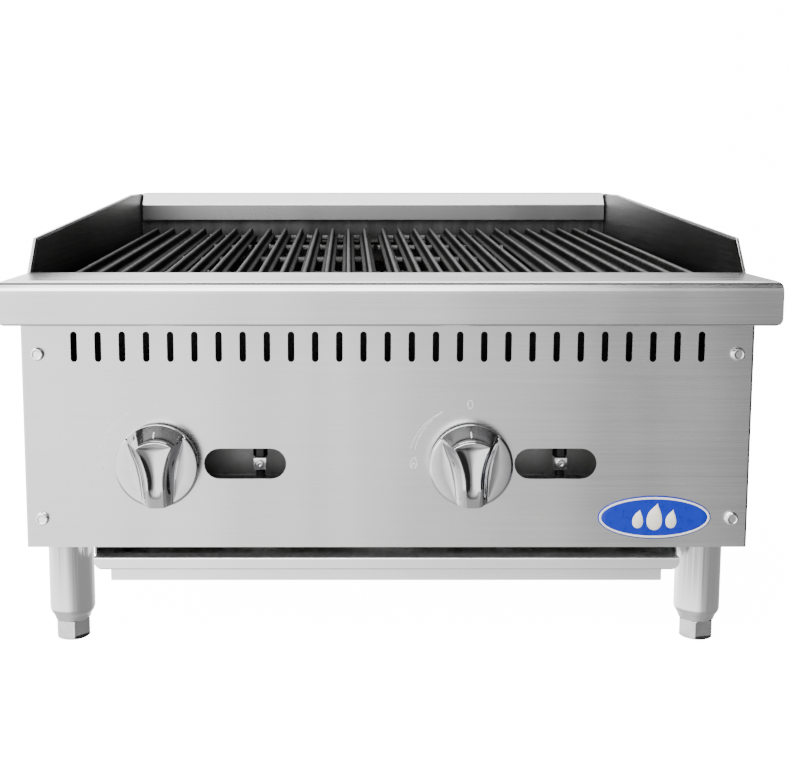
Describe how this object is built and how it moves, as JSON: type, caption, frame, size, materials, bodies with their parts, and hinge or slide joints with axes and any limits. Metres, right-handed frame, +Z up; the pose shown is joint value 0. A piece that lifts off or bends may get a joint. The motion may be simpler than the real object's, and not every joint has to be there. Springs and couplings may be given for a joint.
{
  "type": "charbroiler grill",
  "caption": "Countertop gas charbroiler: stainless casing with sloped side shields, slotted panel with chrome knobs, cast-iron bar grates, drip tray and levelling legs.",
  "frame": {"origin": "middle of the bounding box's footprint, on the surface that the feet stand on", "axes": "+X to the right of a person at the knobs, +Y from the front rail to the back, +Z up"},
  "size_m": [0.614, 0.701, 0.386],
  "materials": {
    "stainless": "brushed",
    "dark_stainless": "heat-darkened",
    "galvanised": "galvanised",
    "leg_steel": "polished",
    "fastener": "plated",
    "pipe": "black",
    "brass": "machined",
    "burner_steel": "matt",
    "radiant_steel": "heat-stained",
    "enamel": "gloss",
    "tray_steel": "satin",
    "cast_iron": "matt",
    "chrome": "polished"
  },
  "bodies": {
    "chassis": {"control_panel": "stainless", "front_rail": "stainless", "left_side_panel": "stainless", "right_side_panel": "stainless", "back_panel": "stainless", "backsplash": "stainless", "left_side_liner": "dark_stainless", "right_side_liner": "dark_stainless", "rear_liner": "dark_stainless", "front_baffle": "dark_stainless", "left_grease_deflector": "dark_stainless", "right_grease_deflector": "dark_stainless", "front_base_channel": "galvanised", "rear_base_channel": "galvanised", "left_base_channel": "galvanised", "right_base_channel": "galvanised", "front_grate_rest": "dark_stainless", "rear_grate_rest": "dark_stainless", "front_radiant_rest": "dark_stainless", "rear_radiant_rest": "dark_stainless", "burner_support": "dark_stainless", "left_tray_rail": "galvanised", "right_tray_rail": "galvanised", "front_left_leg": "leg_steel", "front_right_leg": "leg_steel", "rear_left_leg": "leg_steel", "rear_right_leg": "leg_steel", "leg_bolts": "fastener", "panel_screws": "fastener", "back_screws": "fastener", "gas_manifold": "pipe", "gas_inlet_pipe": "pipe", "left_gas_valve": "brass", "right_gas_valve": "brass", "orifice_hoods": "brass", "left_burner": "burner_steel", "right_burner": "burner_steel", "pilot_valves": "fastener", "pilot_tubes": "pipe", "pilot_burners": "burner_steel", "radiant_1": "radiant_steel", "radiant_2": "radiant_steel", "radiant_3": "radiant_steel", "radiant_4": "radiant_steel", "badge": "enamel"},
    "drip_tray": {"drip_tray": "tray_steel"},
    "grate_1": {"grate_1": "cast_iron"},
    "grate_2": {"grate_2": "cast_iron"},
    "grate_3": {"grate_3": "cast_iron"},
    "grate_4": {"grate_4": "cast_iron"},
    "front_left_foot": {"front_left_foot": "leg_steel"},
    "front_right_foot": {"front_right_foot": "leg_steel"},
    "rear_left_foot": {"rear_left_foot": "leg_steel"},
    "rear_right_foot": {"rear_right_foot": "leg_steel"},
    "left_collar": {"left_stem_collar": "fastener"},
    "left_knob": {"left_knob": "chrome", "left_valve_stem": "brass"},
    "right_collar": {"right_stem_collar": "fastener"},
    "right_knob": {"right_knob": "chrome", "right_valve_stem": "brass"}
  },
  "joints": [
    {"name": "left_knob_push", "type": "slide", "parent": "chassis", "child": "left_collar", "axis": [0, 1, 0], "range_m": [0, 0.003], "stiffness_N_per_m": 1200, "springref_m": -0.002},
    {"name": "left_knob_turn", "type": "hinge", "parent": "left_collar", "child": "left_knob", "pos_m": [-0.191, -0.296, 0.171], "axis": [0, -1, 0], "range_deg": [0, 90]},
    {"name": "right_knob_push", "type": "slide", "parent": "chassis", "child": "right_collar", "axis": [0, 1, 0], "range_m": [0, 0.003], "stiffness_N_per_m": 1200, "springref_m": -0.002},
    {"name": "right_knob_turn", "type": "hinge", "parent": "right_collar", "child": "right_knob", "pos_m": [0.069, -0.296, 0.171], "axis": [0, -1, 0], "range_deg": [0, 90]},
    {"name": "drip_tray_slide", "type": "slide", "parent": "chassis", "child": "drip_tray", "axis": [0, -1, 0], "range_m": [0, 0.6]},
    {"name": "grate_1_lift", "type": "slide", "parent": "chassis", "child": "grate_1", "axis": [0, 0, 1], "range_m": [0, 0.12]},
    {"name": "grate_2_lift", "type": "slide", "parent": "chassis", "child": "grate_2", "axis": [0, 0, 1], "range_m": [0, 0.12]},
    {"name": "grate_3_lift", "type": "slide", "parent": "chassis", "child": "grate_3", "axis": [0, 0, 1], "range_m": [0, 0.12]},
    {"name": "grate_4_lift", "type": "slide", "parent": "chassis", "child": "grate_4", "axis": [0, 0, 1], "range_m": [0, 0.12]},
    {"name": "front_left_foot_screw", "type": "slide", "parent": "chassis", "child": "front_left_foot", "axis": [0, 0, -1], "range_m": [0, 0.025]},
    {"name": "front_right_foot_screw", "type": "slide", "parent": "chassis", "child": "front_right_foot", "axis": [0, 0, -1], "range_m": [0, 0.025]},
    {"name": "rear_left_foot_screw", "type": "slide", "parent": "chassis", "child": "rear_left_foot", "axis": [0, 0, -1], "range_m": [0, 0.025]},
    {"name": "rear_right_foot_screw", "type": "slide", "parent": "chassis", "child": "rear_right_foot", "axis": [0, 0, -1], "range_m": [0, 0.025]}
  ]
}
